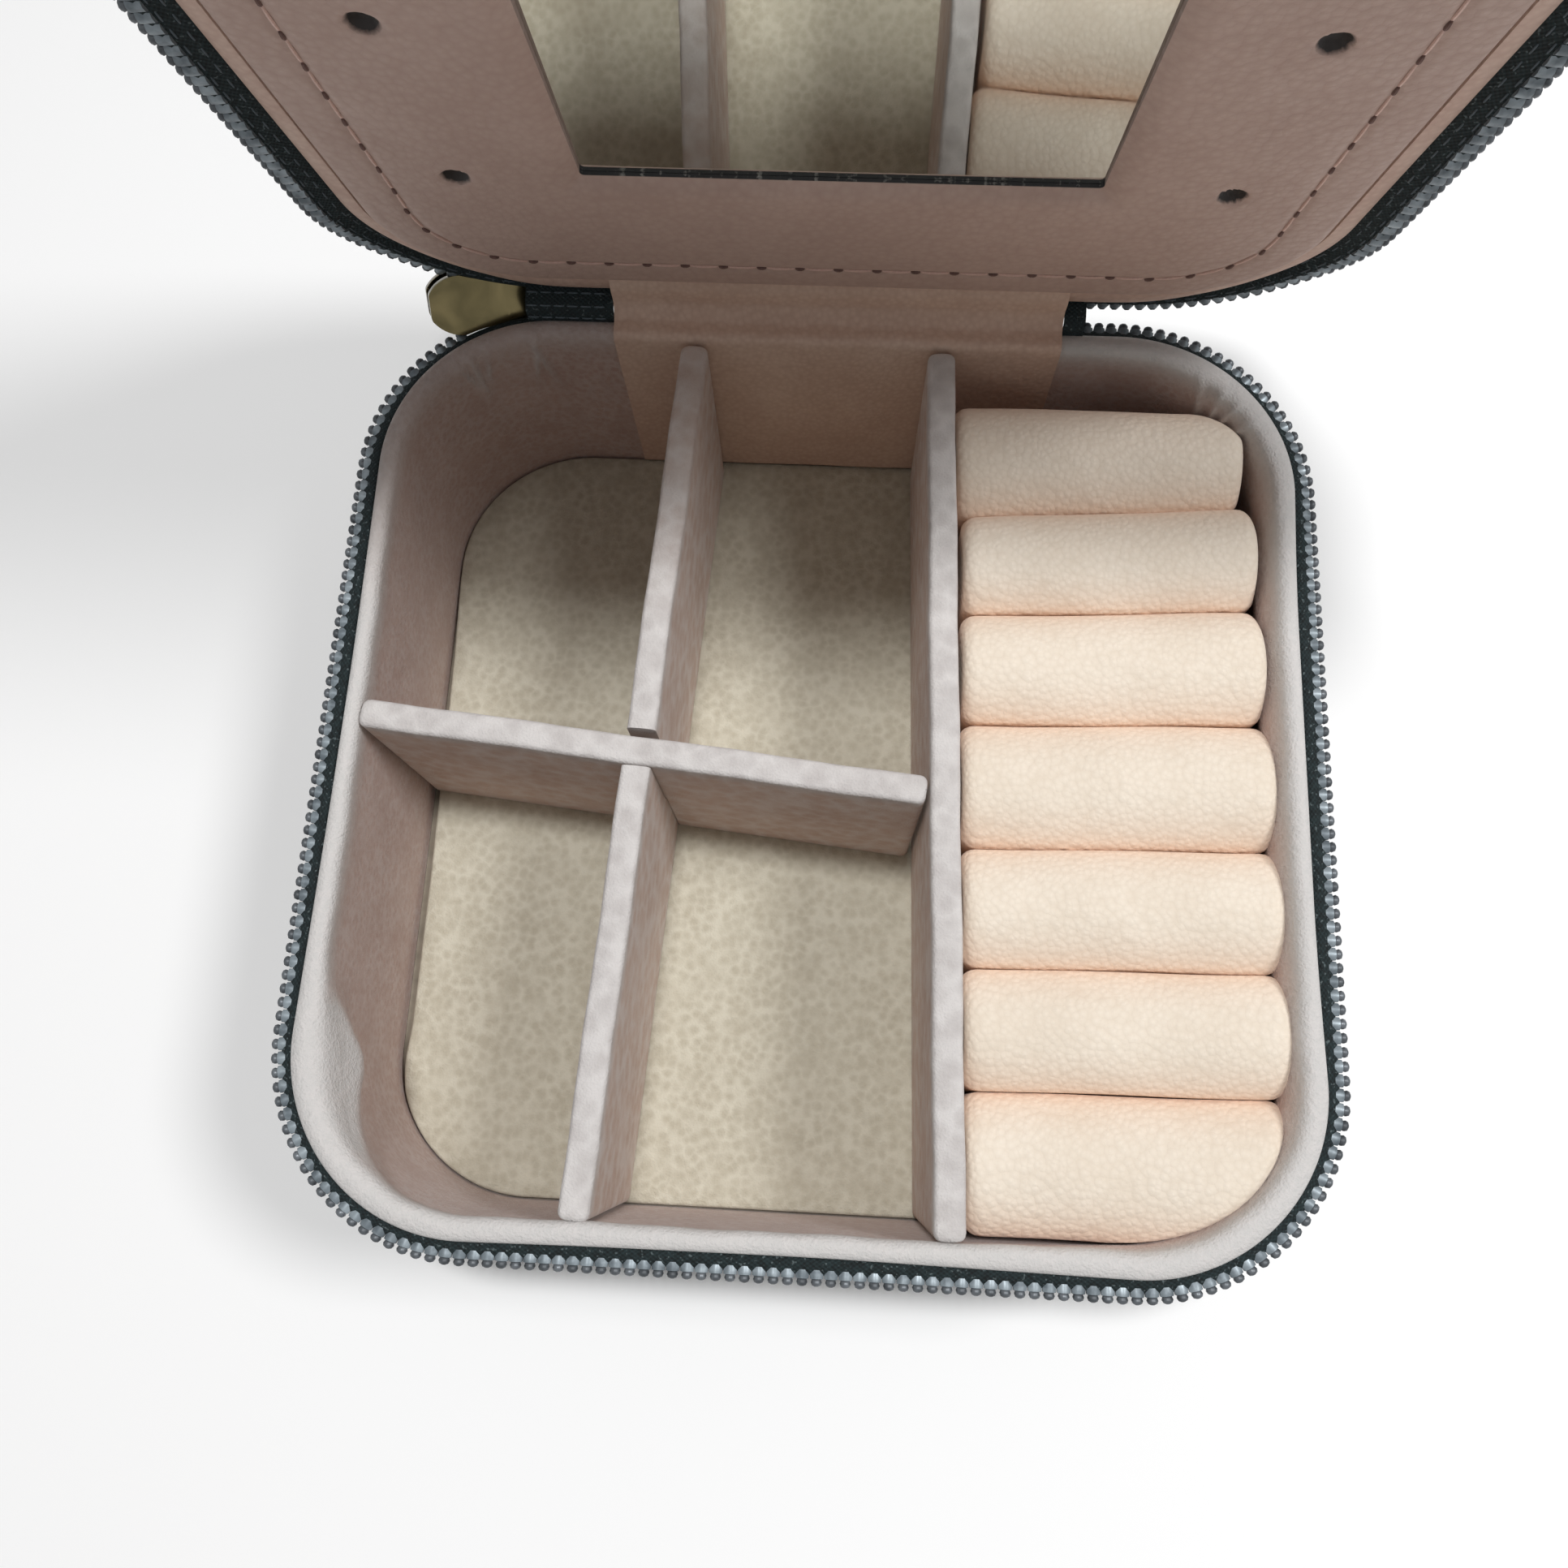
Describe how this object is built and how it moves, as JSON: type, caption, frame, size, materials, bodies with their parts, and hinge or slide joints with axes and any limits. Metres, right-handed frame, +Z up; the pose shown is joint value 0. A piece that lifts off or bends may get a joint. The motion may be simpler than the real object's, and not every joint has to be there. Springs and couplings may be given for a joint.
{
  "type": "jewelry box",
  "caption": "Small zipped travel jewelry box, open, with velvet compartments, ring rolls, loose dividers, a mirror and stud holes in the hinged lid.",
  "frame": {"origin": "centre of the underside of the base", "axes": "+Z up from the underside, +Y towards the hinge, +X to the right when facing the open box"},
  "size_m": [0.1, 0.1161, 0.1276],
  "materials": {
    "outer_leather": "grained",
    "board": "matt",
    "wall_velvet": "velvet",
    "floor_velvet": "velvet",
    "roll_suede": "suede",
    "zip_tape": "woven",
    "zip_teeth": "satin",
    "slider_brass": "aged",
    "panel_leather": "pebbled",
    "band_leather": "fine grain",
    "mirror_glass": "polished"
  },
  "bodies": {
    "base": {"base_leather_shell": "outer_leather", "hinge_spine": "outer_leather", "base_bottom_board": "board", "base_wall_board": "board", "base_wall_lining": "wall_velvet", "ring_divider": "wall_velvet", "base_floor_pad": "floor_velvet", "ring_roll_1": "roll_suede", "ring_roll_2": "roll_suede", "ring_roll_3": "roll_suede", "ring_roll_4": "roll_suede", "ring_roll_5": "roll_suede", "ring_roll_6": "roll_suede", "ring_roll_7": "roll_suede", "base_zip_tape": "zip_tape", "zip_end_left": "zip_tape", "zip_end_right": "zip_tape", "base_zip_teeth": "zip_teeth", "hinge_lining_strip": "band_leather"},
    "lid": {"lid_leather_shell": "outer_leather", "lid_top_board": "board", "lid_wall_board": "board", "lid_wall_lining": "band_leather", "lid_panel": "panel_leather", "mirror": "mirror_glass", "mirror_frame_board": "board", "panel_back_board": "board", "lid_zip_tape": "zip_tape", "lid_zip_teeth": "zip_teeth"},
    "long_board": {"long_divider": "wall_velvet"},
    "cross_board": {"cross_divider": "wall_velvet"},
    "slider": {"slider_body": "slider_brass"},
    "pull": {"slider_pull": "slider_brass"}
  },
  "joints": [
    {"name": "lid_hinge", "type": "hinge", "parent": "base", "child": "lid", "pos_m": [0, 0.0481, 0.03], "axis": [-1, 0, 0], "range_deg": [-76, 16], "deforming": ["hinge_lining_strip", "hinge_spine", "zip_end_left", "zip_end_right"]},
    {"name": "long_divider_lift", "type": "slide", "parent": "base", "child": "long_board", "axis": [0, 0, 1], "range_m": [0, 0.015]},
    {"name": "cross_divider_lift", "type": "slide", "parent": "long_board", "child": "cross_board", "axis": [0, 0, 1], "range_m": [0, 0.03]},
    {"name": "slider_slide", "type": "slide", "parent": "base", "child": "slider", "axis": [-0.9238, -0.3018, 0.2358], "range_m": [0, 0.008]},
    {"name": "pull_swing", "type": "hinge", "parent": "slider", "child": "pull", "pos_m": [-0.0398, 0.05079, 0.02802], "axis": [0, -0.6157, -0.788], "range_deg": [-70, 70]}
  ]
}
